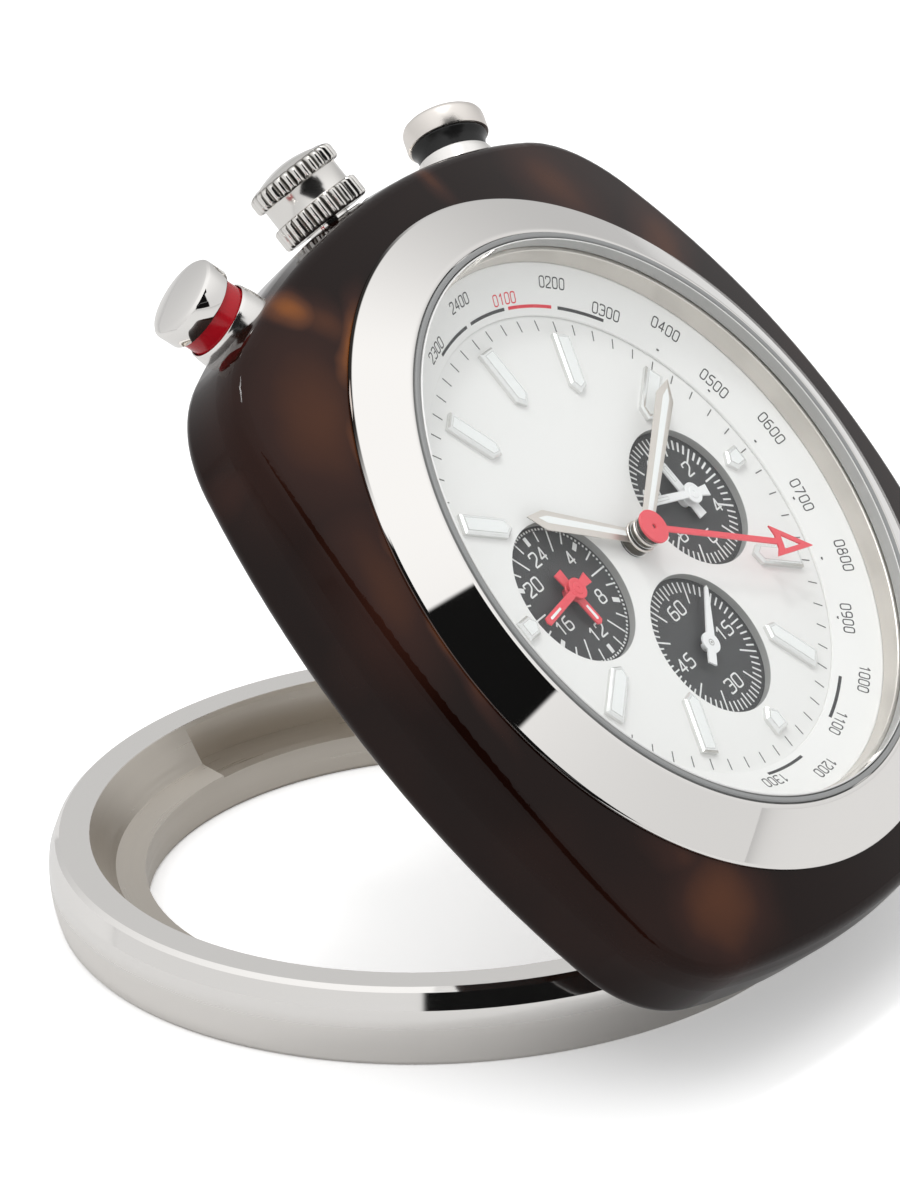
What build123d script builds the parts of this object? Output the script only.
from build123d import *
from math import atan2, cos, degrees, radians, sin, sqrt
import os

os.makedirs("parts", exist_ok=True)

# Driving dimensions, in millimetres and degrees
case_half = 28.05  # half the width across the flats of the case
side_radius = 61.7  # the bowed sides of the cushion outline
corner_radius = 9.44
wide_level = -3.6  # where the case is widest, below the bezel's outer edge
back_level = -8.1  # back of the case shell
dome_radius = 111.0  # the crowned front of the case
dome_depth = 108.48
lean = 41.64  # angle of the dial's normal above the table
face_height = 28.60
ring_y = 3.75  # middle of the stand ring
face_setback = 16.25
ring_outer = 26.2
hinge_reach = 24.55  # hinge pin from the ring's middle
hinge_height = 3.10
pin_radius = 0.60
tongue_width = 9.6
control_level = -5.15  # crown and pusher axes
pusher_angle = 30
flute_count = 30
window_radius = 5.08  # openings in the dial
window_reach = 8.13
dial_top = -1.98
sub_dial_top = -2.54

# Where the three sub-dials sit on the dial: left, right and bottom
dual_at = (-window_reach, 0)
alarm_at = (window_reach, 0)
seconds_at = (0, -window_reach)

# The dial faces forward and up; its local y points at 12 and its local z out of the glass
face = Plane(
    origin=(0, ring_y - face_setback, face_height),
    x_dir=(1, 0, 0),
    z_dir=(0, -cos(radians(lean)), sin(radians(lean))),
)
face_axis = Axis(face.origin, face.z_dir)
section = Plane(origin=face.origin, x_dir=face.x_dir, z_dir=-face.y_dir)
ring_section = Plane(origin=(0, ring_y, 0), x_dir=(1, 0, 0), z_dir=(0, -1, 0))
ring_axis = Axis((0, ring_y, 0), (0, 0, 1))


def on_face(spot, level, clockwise=0):
    """Plane parallel to the dial at a spot and level, its y axis turned clockwise from 12."""
    turn = radians(clockwise)
    return Plane(
        origin=face.from_local_coords((spot[0], spot[1], level)),
        x_dir=face.x_dir * cos(turn) - face.y_dir * sin(turn),
        z_dir=face.z_dir,
    )


def along(angle):
    """Plane that holds a control's axis as its local y."""
    return on_face((0, 0), control_level, angle)


def across(angle, reach):
    """Plane square to a control's axis, at a distance from the middle of the case."""
    hub = along(angle)
    return Plane(
        origin=hub.from_local_coords((0, reach, 0)), x_dir=hub.x_dir, z_dir=hub.y_dir
    )


def dome(rim, top):
    """Arc from a rim point up to the axis, centred on that axis."""
    rise = top - rim[1]
    radius = (rim[0] ** 2 + rise**2) / (2 * rise)
    half = rim[0] / 2
    return ThreePointArc(rim, (half, top - radius + sqrt(radius**2 - half**2)), (0, top))


# Case shell: a cushion block with a crowned front, bored from both sides
corner_shift = case_half - side_radius
reach_difference = side_radius - corner_radius
corner_centre = (corner_shift + sqrt(2 * reach_difference**2 - corner_shift**2)) / 2
side_half_angle = degrees(atan2(corner_centre, corner_centre - corner_shift))

with BuildPart() as case_shell:
    for height, draft in ((5.0, 9), (back_level - wide_level, 4)):
        with BuildSketch(face.offset(wide_level)):
            with BuildLine():
                for quarter in range(4):
                    turn = 90 * quarter
                    side = Vector(corner_shift, 0).rotate(Axis.Z, turn)
                    corner = Vector(corner_centre, corner_centre).rotate(Axis.Z, turn)
                    CenterArc(side, side_radius, turn - side_half_angle, 2 * side_half_angle)
                    CenterArc(
                        corner, corner_radius, turn + side_half_angle, 90 - 2 * side_half_angle
                    )
            make_face()
        extrude(amount=height, taper=draft)
    widest = case_shell.edges().filter_by(
        lambda e: abs(face.to_local_coords(e.center()).Z - wide_level) < 0.01
    )
    fillet(widest, radius=5.0)
    with Locations(face.offset(-dome_depth)):
        Sphere(dome_radius, mode=Mode.INTERSECT)
    front_ridge = case_shell.faces().filter_by(GeomType.SPHERE)[0].outer_wire().edges()
    fillet(front_ridge, radius=0.9)
    back_edge = case_shell.faces().filter_by(face).sort_by(face_axis)[0].edges()
    fillet(back_edge, radius=1.15)
    # stepped seat for the bezel, the dial and the movement
    with BuildSketch(section):
        with BuildLine():
            Polyline(
                (0, 3), (24.45, 3), (24.45, -0.45), (23.6, -0.45), (23.6, -2.2), (21.4, -2.2),
                (21.4, -3.0), (19.0, -3.0), (19.0, -7.8), (19.5, -7.8), (19.5, -9), (0, -9),
                close=True,
            )
        make_face()
    revolve(axis=face_axis, mode=Mode.SUBTRACT)
    # crown tube and its sunk collar
    with BuildSketch(across(0, 18)):
        Circle(1.5)
    extrude(amount=14, mode=Mode.SUBTRACT)
    with BuildSketch(across(0, 27.7)):
        Circle(3.05)
    extrude(amount=4, mode=Mode.SUBTRACT)
    # pusher tubes and their sunk collars
    for angle in (-pusher_angle, pusher_angle):
        with BuildSketch(across(angle, 18)):
            Circle(1.6)
        extrude(amount=14, mode=Mode.SUBTRACT)
        with BuildSketch(across(angle, 29.2)):
            Circle(2.65)
        extrude(amount=4, mode=Mode.SUBTRACT)
    # tapped holes for the case back
    with BuildSketch(face.offset(back_level)):
        with PolarLocations(20.1, 4, start_angle=45):
            Circle(0.4)
    extrude(amount=2.7, mode=Mode.SUBTRACT)
case_shell.part.label = "case_shell"

# Bezel: polished cone with a stepped skirt that drops into the case and a lip over its edge
with BuildPart() as bezel_ring:
    with BuildSketch(section):
        with BuildLine():
            Polyline(
                (24.42, -0.42), (24.42, -0.19), (24.65, -0.19), (24.65, -0.1), (24.55, 0),
                (21.1, 1.86), (20.95, 1.94), (20.95, 0.9), (20.85, 0.9), (20.85, -0.5),
                (21.5, -0.5), (21.5, -2.15), (23.5, -2.15), (23.5, -0.42),
                close=True,
            )
        make_face()
    revolve(axis=face_axis)
bezel_ring.part.label = "bezel_ring"

# Crystal, with a polished edge
with BuildPart() as crystal:
    with BuildSketch(face.offset(1.0)):
        Circle(20.5)
    extrude(amount=0.95)
    rim = crystal.edges().filter_by(GeomType.CIRCLE).sort_by(face_axis)[-1]
    chamfer(rim, length=0.12)
crystal.part.label = "crystal"

# Crystal gasket
with BuildPart() as crystal_gasket:
    with BuildSketch(face.offset(0.95)):
        Circle(20.9)
        Circle(20.55, mode=Mode.SUBTRACT)
    extrude(amount=1.03)
crystal_gasket.part.label = "crystal_gasket"

# Reflector ring, the satin wall under the crystal
with BuildPart() as reflector_ring:
    with BuildSketch(face.offset(-0.5)):
        Circle(20.75)
        Circle(20.1, mode=Mode.SUBTRACT)
    extrude(amount=1.45)
reflector_ring.part.label = "reflector_ring"

# Flange ring, the sloping printed scale
with BuildPart() as flange_ring:
    with BuildSketch(section):
        with BuildLine():
            Polyline(
                (20.05, -0.55), (16.87, -1.78), (16.87, -1.94), (21.3, -1.94), (21.3, -0.55),
                close=True,
            )
        make_face()
    revolve(axis=face_axis)
flange_ring.part.label = "flange_ring"

# Dial plate with three windows and the hole for the centre pipes
with BuildPart() as dial_plate:
    with BuildSketch(face.offset(dial_top)):
        Circle(21.3)
        with Locations(dual_at, alarm_at, seconds_at):
            Circle(window_radius, mode=Mode.SUBTRACT)
        Circle(1.05, mode=Mode.SUBTRACT)
    extrude(amount=-0.54)
dial_plate.part.label = "dial_plate"

# Sub-dials: sunk discs fixed behind the dial's windows, bored for their hands' pipes
with BuildPart() as dual_time_dial:
    with BuildSketch(on_face(dual_at, sub_dial_top)):
        Circle(5.6)
        Circle(0.55, mode=Mode.SUBTRACT)
    extrude(amount=-0.12)
dual_time_dial.part.label = "dual_time_dial"

with BuildPart() as alarm_dial:
    with BuildSketch(on_face(alarm_at, sub_dial_top)):
        Circle(5.6)
        Circle(0.55, mode=Mode.SUBTRACT)
    extrude(amount=-0.12)
alarm_dial.part.label = "alarm_dial"

with BuildPart() as seconds_dial:
    with BuildSketch(on_face(seconds_at, sub_dial_top)):
        Circle(5.6)
        Circle(0.40, mode=Mode.SUBTRACT)
    extrude(amount=-0.12)
seconds_dial.part.label = "seconds_dial"

# Applied hour markers: bevelled batons with pointed inner ends, short beside the sub-dials
with BuildPart() as hour_markers:
    for hour in range(12):
        inner = 13.5 if hour in (3, 6, 9) else 11.05
        outer = 15.35 if hour in (3, 6, 9) else 15.45
        with BuildSketch(on_face((0, 0), dial_top, 30 * hour)):
            with BuildLine():
                Polyline(
                    (-0.72, outer), (-0.72, inner + 0.6), (0, inner), (0.72, inner + 0.6),
                    (0.72, outer),
                    close=True,
                )
            make_face()
        extrude(amount=0.40)
    crowns = hour_markers.faces().filter_by(face).group_by(face_axis)[-1]
    chamfer(crowns.edges(), length=0.12)
hour_markers.part.label = "hour_markers"

# Hour hand: a pointed blade and a stepped hub on its pipe
with BuildPart() as hour_hand:
    with BuildSketch(on_face((0, 0), -1.25, 303.9)):
        Circle(1.15)
        with BuildLine():
            Polyline(
                (-0.52, 0.5), (-0.75, 8.4), (0, 9.95), (0.75, 8.4), (0.52, 0.5), close=True
            )
        make_face()
        Circle(0.80, mode=Mode.SUBTRACT)
    extrude(amount=0.15)
    with BuildSketch(face.offset(-1.90)):
        Circle(1.05)
        Circle(0.70, mode=Mode.SUBTRACT)
    extrude(amount=0.85)
    with BuildSketch(face.offset(-3.40)):
        Circle(0.95)
        Circle(0.70, mode=Mode.SUBTRACT)
    extrude(amount=2.20)
hour_hand.part.label = "hour_hand"

# Minute hand, the same shape and longer, on a slimmer pipe
with BuildPart() as minute_hand:
    with BuildSketch(on_face((0, 0), -0.62, 61.3)):
        Circle(1.10)
        with BuildLine():
            Polyline(
                (-0.50, 0.5), (-0.72, 12.5), (0, 14.2), (0.72, 12.5), (0.50, 0.5), close=True
            )
        make_face()
        Circle(0.50, mode=Mode.SUBTRACT)
    extrude(amount=0.15)
    with BuildSketch(face.offset(-0.98)):
        Circle(1.00)
        Circle(0.40, mode=Mode.SUBTRACT)
    extrude(amount=0.55)
    with BuildSketch(face.offset(-3.40)):
        Circle(0.64)
        Circle(0.40, mode=Mode.SUBTRACT)
    extrude(amount=2.50)
minute_hand.part.label = "minute_hand"

# Centre pointer: a thin rod with an open arrow, on a round cap and its barrel
with BuildPart() as centre_pointer:
    with BuildSketch(on_face((0, 0), -0.02, 120.6)):
        Circle(1.0)
        with Locations((0, 6.0)):
            Rectangle(0.42, 11.2)
        with BuildLine():
            Polyline(
                (-1.14, 11.15), (0, 14.85), (1.14, 11.15), (0.5, 11.45), (-0.5, 11.45),
                close=True,
            )
        make_face()
        with BuildLine():
            Polyline((-0.52, 12.0), (0, 13.68), (0.52, 12.0), close=True)
        make_face(mode=Mode.SUBTRACT)
        Circle(0.30, mode=Mode.SUBTRACT)
    extrude(amount=0.12)
    with BuildSketch(face.offset(-0.38)):
        Circle(1.08)
        Circle(0.30, mode=Mode.SUBTRACT)
    extrude(amount=0.42)
    with BuildSketch(face.offset(0.06)):
        Circle(1.21)
        Circle(0.15, mode=Mode.SUBTRACT)
    extrude(amount=0.17)
centre_pointer.part.label = "centre_pointer"

# Pointer arbor, the thin shaft through all the centre pipes
with BuildPart() as pointer_arbor:
    with BuildSketch(face.offset(-3.40)):
        Circle(0.35)
    extrude(amount=3.02)
    with BuildSketch(face.offset(-0.38)):
        Circle(0.30)
    extrude(amount=0.45)
pointer_arbor.part.label = "pointer_arbor"

# Small seconds hand, slim and pointed, with a square tail
with BuildPart() as small_seconds_hand:
    with BuildSketch(on_face(seconds_at, -2.05, 49.0)):
        Circle(0.76)
        with BuildLine():
            Polyline(
                (-0.34, -1.7), (-0.34, 0.6), (-0.14, 4.4), (0, 4.58), (0.14, 4.4), (0.34, 0.6),
                (0.34, -1.7),
                close=True,
            )
        make_face()
    extrude(amount=0.13)
    with BuildSketch(on_face(seconds_at, -3.30)):
        Circle(0.30)
    extrude(amount=1.30)
small_seconds_hand.part.label = "small_seconds_hand"

# Alarm hands: the hour hand runs below the minute hand
with BuildPart() as alarm_hour_hand:
    with BuildSketch(on_face(alarm_at, -2.12, 357.7)):
        Circle(0.72)
        with BuildLine():
            Polyline(
                (-0.42, -1.55), (-0.38, 2.3), (0, 2.8), (0.38, 2.3), (0.42, -1.55), close=True
            )
        make_face()
        Circle(0.40, mode=Mode.SUBTRACT)
    extrude(amount=0.12)
    with BuildSketch(on_face(alarm_at, -3.30)):
        Circle(0.50)
        Circle(0.30, mode=Mode.SUBTRACT)
    extrude(amount=1.36)
alarm_hour_hand.part.label = "alarm_hour_hand"

with BuildPart() as alarm_minute_hand:
    with BuildSketch(on_face(alarm_at, -1.62, 286.3)):
        Circle(0.76)
        with BuildLine():
            Polyline(
                (-0.44, -1.55), (-0.26, 3.95), (0, 4.4), (0.26, 3.95), (0.44, -1.55), close=True
            )
        make_face()
    extrude(amount=0.12)
    with BuildSketch(on_face(alarm_at, -1.90)):
        Circle(0.60)
    extrude(amount=0.30)
    with BuildSketch(on_face(alarm_at, -3.30)):
        Circle(0.25)
    extrude(amount=1.45)
alarm_minute_hand.part.label = "alarm_minute_hand"

# Dual-time hands: the same pair in red
with BuildPart() as dual_hour_hand:
    with BuildSketch(on_face(dual_at, -2.12, 174.6)):
        Circle(0.72)
        with BuildLine():
            Polyline(
                (-0.42, -1.6), (-0.38, 2.2), (0, 2.7), (0.38, 2.2), (0.42, -1.6), close=True
            )
        make_face()
        Circle(0.40, mode=Mode.SUBTRACT)
    extrude(amount=0.12)
    with BuildSketch(on_face(dual_at, -3.30)):
        Circle(0.50)
        Circle(0.30, mode=Mode.SUBTRACT)
    extrude(amount=1.36)
dual_hour_hand.part.label = "dual_hour_hand"

with BuildPart() as dual_minute_hand:
    with BuildSketch(on_face(dual_at, -1.72, 264.3)):
        Circle(0.76)
        with BuildLine():
            Polyline(
                (-0.44, -1.5), (-0.26, 4.35), (0, 4.78), (0.26, 4.35), (0.44, -1.5), close=True
            )
        make_face()
    extrude(amount=0.12)
    with BuildSketch(on_face(dual_at, -1.92)):
        Circle(0.60)
    extrude(amount=0.22)
    with BuildSketch(on_face(dual_at, -3.30)):
        Circle(0.25)
    extrude(amount=1.45)
dual_minute_hand.part.label = "dual_minute_hand"

# Movement holder ring, with a hole for the crown stem
with BuildPart() as movement_holder:
    with BuildSketch(section):
        with BuildLine():
            Polyline(
                (16.5, -2.55), (21.3, -2.55), (21.3, -2.95), (18.9, -2.95), (18.9, -7.0),
                (16.5, -7.0),
                close=True,
            )
        make_face()
    revolve(axis=face_axis)
    with BuildSketch(across(0, 15)):
        Circle(0.6)
    extrude(amount=5, mode=Mode.SUBTRACT)
movement_holder.part.label = "movement_holder"

# Movement main plate, bored for every arbor
with BuildPart() as main_plate:
    with BuildSketch(face.offset(-2.70)):
        Circle(16.45)
        Circle(1.0, mode=Mode.SUBTRACT)
        with Locations(dual_at, alarm_at):
            Circle(0.55, mode=Mode.SUBTRACT)
        with Locations(seconds_at):
            Circle(0.35, mode=Mode.SUBTRACT)
    extrude(amount=-0.75)
main_plate.part.label = "main_plate"

# Going train: five wheels on their arbors, clear of the stem
wheels = (
    (0, 0, 3.2, -3.6), (4.4, 3.0, 2.4, -4.1), (8.1, 0.4, 2.2, -3.6), (-4.4, 3.0, 2.4, -4.1),
    (-8.1, 0.4, 2.2, -3.6),
)
with BuildPart() as train_wheels:
    for u, v, radius, level in wheels:
        with BuildSketch(on_face((u, v), level)):
            Circle(radius)
            with PolarLocations(radius * 0.55, 3):
                Circle(radius * 0.22, mode=Mode.SUBTRACT)
        extrude(amount=-0.3)
        with BuildSketch(on_face((u, v), -3.45)):
            Circle(0.3)
        extrude(amount=-1.65)
train_wheels.part.label = "train_wheels"

# Train bridge, cut away for the stem and the battery
with BuildPart() as train_bridge:
    with BuildSketch(face.offset(-5.1)):
        Circle(15.5)
        with Locations((0, 13)):
            Rectangle(6.4, 9, mode=Mode.SUBTRACT)
        with Locations((0, -8)):
            Circle(5.0, mode=Mode.SUBTRACT)
    extrude(amount=-0.6)
    with BuildSketch(face.offset(-5.1)):
        with Locations((-11.5, 9), (11.5, 9), (-11.5, -9), (11.5, -9)):
            Circle(0.9)
    extrude(amount=1.65)
train_bridge.part.label = "train_bridge"

# Stepping motor coils, two wound bobbins
with BuildPart() as motor_coils:
    with BuildSketch(face.offset(-3.55)):
        with Locations((-6.2, -6.6), (6.2, -6.6)):
            RectangleRounded(2.4, 6.4, 0.4)
    extrude(amount=-1.4)
motor_coils.part.label = "motor_coils"

# Circuit board, with the same cutouts
with BuildPart() as circuit_board:
    with BuildSketch(face.offset(-5.75)):
        Circle(15.0)
        with Locations((0, 13)):
            Rectangle(6.4, 9, mode=Mode.SUBTRACT)
        with Locations((0, -8)):
            Circle(5.0, mode=Mode.SUBTRACT)
    extrude(amount=-0.4)
circuit_board.part.label = "circuit_board"

# Button cell battery
with BuildPart() as battery:
    with BuildSketch(on_face((0, -8), -5.05)):
        Circle(4.75)
    extrude(amount=-2.6)
    chamfer(battery.edges().filter_by(GeomType.CIRCLE), length=0.2)
battery.part.label = "battery"

# Battery clamp, a strip over the cell with a foot on each side
with BuildPart() as battery_clamp:
    with BuildSketch(on_face((0, -8), -7.68)):
        Rectangle(14.0, 3.0)
    extrude(amount=-0.2)
    with BuildSketch(on_face((0, -8), -6.15)):
        with Locations((-6.6, 0), (6.6, 0)):
            Rectangle(0.8, 3.0)
    extrude(amount=-1.6)
battery_clamp.part.label = "battery_clamp"

# Case back: a conical plate with a spigot, and the hinge tongue with its knuckle
with BuildPart() as case_back:
    with BuildSketch(section):
        with BuildLine():
            Polyline(
                (0, -10.4), (21.0, -10.4), (21.3, -10.2), (21.8, -8.3), (21.65, back_level),
                (18.85, back_level), (18.85, -7.1), (17.2, -7.1), (16.5, -7.8), (16.5, -9.45),
                (0, -9.45),
                close=True,
            )
        make_face()
    revolve(axis=face_axis)
    with BuildSketch(Plane.YZ.offset(-tongue_width / 2)):
        with BuildLine():
            corners = [
                face.from_local_coords((0, v, n))
                for v, n in ((-19.5, -8.5), (-19.5, -10.4), (-24.4, -10.4), (-24.4, -9.5),
                             (-23.2, -8.5))
            ]
            Polyline(*[(p.Y, p.Z) for p in corners], close=True)
        make_face()
        with Locations((ring_y - hinge_reach, hinge_height)):
            Circle(1.45)
            Circle(pin_radius + 0.05, mode=Mode.SUBTRACT)
    extrude(amount=tongue_width)
    with BuildSketch(face.offset(-10.4)):
        with PolarLocations(20.1, 4, start_angle=45):
            Circle(0.45)
    extrude(amount=2.5, mode=Mode.SUBTRACT)
    with BuildSketch(face.offset(-10.4)):
        with PolarLocations(20.1, 4, start_angle=45):
            Circle(0.85)
    extrude(amount=0.5, mode=Mode.SUBTRACT)
case_back.part.label = "case_back"

# Case back gasket
with BuildPart() as back_gasket:
    with BuildSketch(face.offset(back_level)):
        Circle(19.45)
        Circle(19.05, mode=Mode.SUBTRACT)
    extrude(amount=0.28)
back_gasket.part.label = "back_gasket"

# Case back screws: four slotted heads with their shanks
with BuildPart() as back_screws:
    with BuildSketch(face.offset(-10.38)):
        with PolarLocations(20.1, 4, start_angle=45):
            Circle(0.8)
    extrude(amount=0.48)
    with BuildSketch(face.offset(-9.9)):
        with PolarLocations(20.1, 4, start_angle=45):
            Circle(0.38)
    extrude(amount=4.2)
    with BuildSketch(face.offset(-10.38)):
        with PolarLocations(20.1, 4, start_angle=45):
            Rectangle(0.25, 1.7)
    extrude(amount=0.2, mode=Mode.SUBTRACT)
back_screws.part.label = "back_screws"

# Buzzer disc, glued inside the case back
with BuildPart() as buzzer_disc:
    with BuildSketch(face.offset(-9.45)):
        Circle(9.0)
    extrude(amount=0.25)
buzzer_disc.part.label = "buzzer_disc"

# Buzzer contact springs: two folded strips from the board to the disc
with BuildPart() as buzzer_springs:
    for u in (-6.5, 6.5):
        with BuildSketch(Plane(face.from_local_coords((u - 0.4, 0, 0)), face.y_dir, face.x_dir)):
            with BuildLine():
                Polyline((2.2, -6.25), (5.6, -6.25), (3.4, -9.1), (5.2, -9.1))
                offset(amount=0.1, side=Side.BOTH)
            make_face()
        extrude(amount=0.8)
buzzer_springs.part.label = "buzzer_springs"

# Crown tube with its collar
with BuildPart() as crown_tube:
    with BuildSketch(along(0)):
        with BuildLine():
            Polyline(
                (0.55, 19.6), (1.5, 19.6), (1.5, 27.7), (3.0, 27.7), (3.0, 28.2), (2.85, 28.35),
                (1.5, 28.35), (1.5, 31.2), (0.55, 31.2),
                close=True,
            )
        make_face()
    revolve(axis=Axis(along(0).origin, along(0).y_dir))
crown_tube.part.label = "crown_tube"

# Crown: two fluted rings with a waist between them and a ringed, domed top
with BuildPart() as crown:
    with BuildSketch(along(0)):
        with BuildLine():
            Polyline(
                (1.75, 28.5), (3.0, 28.5), (3.1, 28.6), (3.1, 29.65), (3.0, 29.75), (2.67, 29.75),
                (2.67, 31.25), (3.0, 31.25), (3.1, 31.35), (3.1, 32.35), (2.95, 32.5),
                (2.45, 32.75), (2.2, 32.75), (2.2, 32.65),
            )
            dome((2.2, 32.65), 33.05)
            Polyline((0, 33.05), (0, 31.9), (0.45, 31.9), (0.45, 31.4), (1.75, 31.4), (1.75, 28.5))
        make_face()
    revolve(axis=Axis(along(0).origin, along(0).y_dir))
    with BuildSketch(across(0, 28.4)):
        with PolarLocations(3.17, flute_count):
            Circle(0.2)
    extrude(amount=1.4, mode=Mode.SUBTRACT)
    with BuildSketch(across(0, 31.2)):
        with PolarLocations(3.17, flute_count):
            Circle(0.2)
    extrude(amount=1.5, mode=Mode.SUBTRACT)
crown.part.label = "crown"

# Crown gasket, carried in the crown's bore
with BuildPart() as crown_gasket:
    with BuildSketch(across(0, 29.0)):
        Circle(1.75)
        Circle(1.55, mode=Mode.SUBTRACT)
    extrude(amount=0.5)
crown_gasket.part.label = "crown_gasket"

# Crown stem, with two shoulders that hold the setting lever between them
with BuildPart() as crown_stem:
    with BuildSketch(along(0)):
        with BuildLine():
            Polyline(
                (0, 10.0), (0.35, 10.0), (0.45, 10.1), (0.45, 10.6), (0.8, 10.6), (0.8, 10.95),
                (0.45, 10.95), (0.45, 12.05), (0.8, 12.05), (0.8, 12.4), (0.45, 12.4),
                (0.45, 31.9), (0, 31.9),
                close=True,
            )
        make_face()
    revolve(axis=Axis(along(0).origin, along(0).y_dir))
crown_stem.part.label = "crown_stem"

# Setting lever: a yoke on the stem with a foot below it
with BuildPart() as setting_lever:
    with BuildSketch(across(0, 11.0)):
        with Locations((0, -0.1)):
            Rectangle(2.4, 1.7)
        Circle(0.50, mode=Mode.SUBTRACT)
    extrude(amount=1.0)
    with BuildSketch(on_face((0, 11.5), control_level - 0.75)):
        Rectangle(2.4, 1.0)
    extrude(amount=-0.9)
setting_lever.part.label = "setting_lever"

# Pusher parts: tube with collar, band, cap, stem and return spring, made for both sides
for angle, hand in ((-pusher_angle, "left"), (pusher_angle, "right")):
    axis = Axis(along(angle).origin, along(angle).y_dir)

    with BuildPart() as pusher_tube:
        with BuildSketch(along(angle)):
            with BuildLine():
                Polyline(
                    (0.75, 21.05), (1.6, 21.05), (1.6, 29.2), (2.65, 29.2), (2.65, 31.45),
                    (2.55, 31.6), (2.35, 31.6), (2.35, 30.4), (0.75, 30.4),
                    close=True,
                )
            make_face()
        revolve(axis=axis)
    pusher_tube.part.label = hand + "_pusher_tube"
    export_step(pusher_tube.part, "parts/" + hand + "_pusher_tube.step")

    with BuildPart() as pusher_band:
        with BuildSketch(across(angle, 31.45)):
            Circle(2.25)
            Circle(1.25, mode=Mode.SUBTRACT)
        extrude(amount=1.15)
    pusher_band.part.label = hand + "_pusher_band"
    export_step(pusher_band.part, "parts/" + hand + "_pusher_band.step")

    with BuildPart() as pusher_cap:
        with BuildSketch(along(angle)):
            with BuildLine():
                Polyline((0.7, 33.8), (0.7, 32.95), (1.25, 32.95), (1.25, 32.6), (2.5, 32.6))
                Polyline((2.5, 32.6), (2.65, 32.75), (2.65, 34.1), (2.45, 34.3))
                dome((2.45, 34.3), 34.55)
                Polyline((0, 34.55), (0, 33.8), (0.7, 33.8))
            make_face()
        revolve(axis=axis)
    pusher_cap.part.label = hand + "_pusher_cap"
    export_step(pusher_cap.part, "parts/" + hand + "_pusher_cap.step")

    with BuildPart() as pusher_stem:
        with BuildSketch(along(angle)):
            with BuildLine():
                Polyline(
                    (0, 20.6), (1.0, 20.6), (1.1, 20.7), (1.1, 21.0), (0.7, 21.0), (0.7, 33.8),
                    (0, 33.8),
                    close=True,
                )
            make_face()
        revolve(axis=axis)
    pusher_stem.part.label = hand + "_pusher_stem"
    export_step(pusher_stem.part, "parts/" + hand + "_pusher_stem.step")

    with BuildPart() as pusher_spring:
        with BuildSketch(along(angle)):
            for coil in range(4):
                with Locations((0.98, 30.62 + 0.37 * coil)):
                    RegularPolygon(0.2, 8, rotation=22.5)
        revolve(axis=axis)
    pusher_spring.part.label = hand + "_pusher_spring"
    export_step(pusher_spring.part, "parts/" + hand + "_pusher_spring.step")

# Stand ring: turned section, with a relief pocket and a notch for the hinge tongue
with BuildPart() as stand_ring:
    with BuildSketch(ring_section):
        with BuildLine():
            Polyline((19.9, 0), (25.55, 0), (25.8, 0.3))
            ThreePointArc((25.8, 0.3), (ring_outer, 2.6), (26.13, 4.07))
            Polyline(
                (26.13, 4.07), (25.7, 5.15), (25.4, 5.44), (23.4, 5.44), (21.8, 2.96),
                (19.87, 2.62), (19.79, 0.2), (19.9, 0),
            )
        make_face()
    revolve(axis=ring_axis)
    with BuildSketch(Plane((0, ring_y, 2.46))):
        with BuildLine():
            outer_arc = CenterArc((0, 0), 23.2, 13, 64)
            inner_arc = CenterArc((0, 0), 19.0, 13, 64)
            Line(outer_arc @ 0, inner_arc @ 0)
            Line(outer_arc @ 1, inner_arc @ 1)
        make_face()
    extrude(amount=4, mode=Mode.SUBTRACT)
    with BuildSketch(Plane((0, ring_y - 23, 1.3))):
        Rectangle(tongue_width + 0.4, 10)
    extrude(amount=6, mode=Mode.SUBTRACT)
    with BuildSketch(Plane.YZ.offset(-7.0)):
        with Locations((ring_y - hinge_reach, hinge_height)):
            Circle(pin_radius)
    extrude(amount=16, mode=Mode.SUBTRACT)
stand_ring.part.label = "stand_ring"

# Hinge pin, pressed into the ring
with BuildPart() as hinge_pin:
    with BuildSketch(Plane.YZ.offset(-6.9)):
        with Locations((ring_y - hinge_reach, hinge_height)):
            Circle(pin_radius)
    extrude(amount=13.8)
    chamfer(hinge_pin.edges().filter_by(GeomType.CIRCLE), length=0.1)
hinge_pin.part.label = "hinge_pin"

finished = (
    case_shell, bezel_ring, crystal, crystal_gasket, reflector_ring, flange_ring, dial_plate,
    dual_time_dial, alarm_dial, seconds_dial, hour_markers, hour_hand, minute_hand,
    centre_pointer, pointer_arbor, small_seconds_hand, alarm_hour_hand, alarm_minute_hand,
    dual_hour_hand, dual_minute_hand, movement_holder, main_plate, train_wheels, train_bridge,
    motor_coils, circuit_board, battery, battery_clamp, case_back, back_gasket, back_screws,
    buzzer_disc, buzzer_springs, crown_tube, crown, crown_gasket, crown_stem, setting_lever,
    stand_ring, hinge_pin,
)
for piece in finished:
    export_step(piece.part, "parts/" + piece.part.label + ".step")
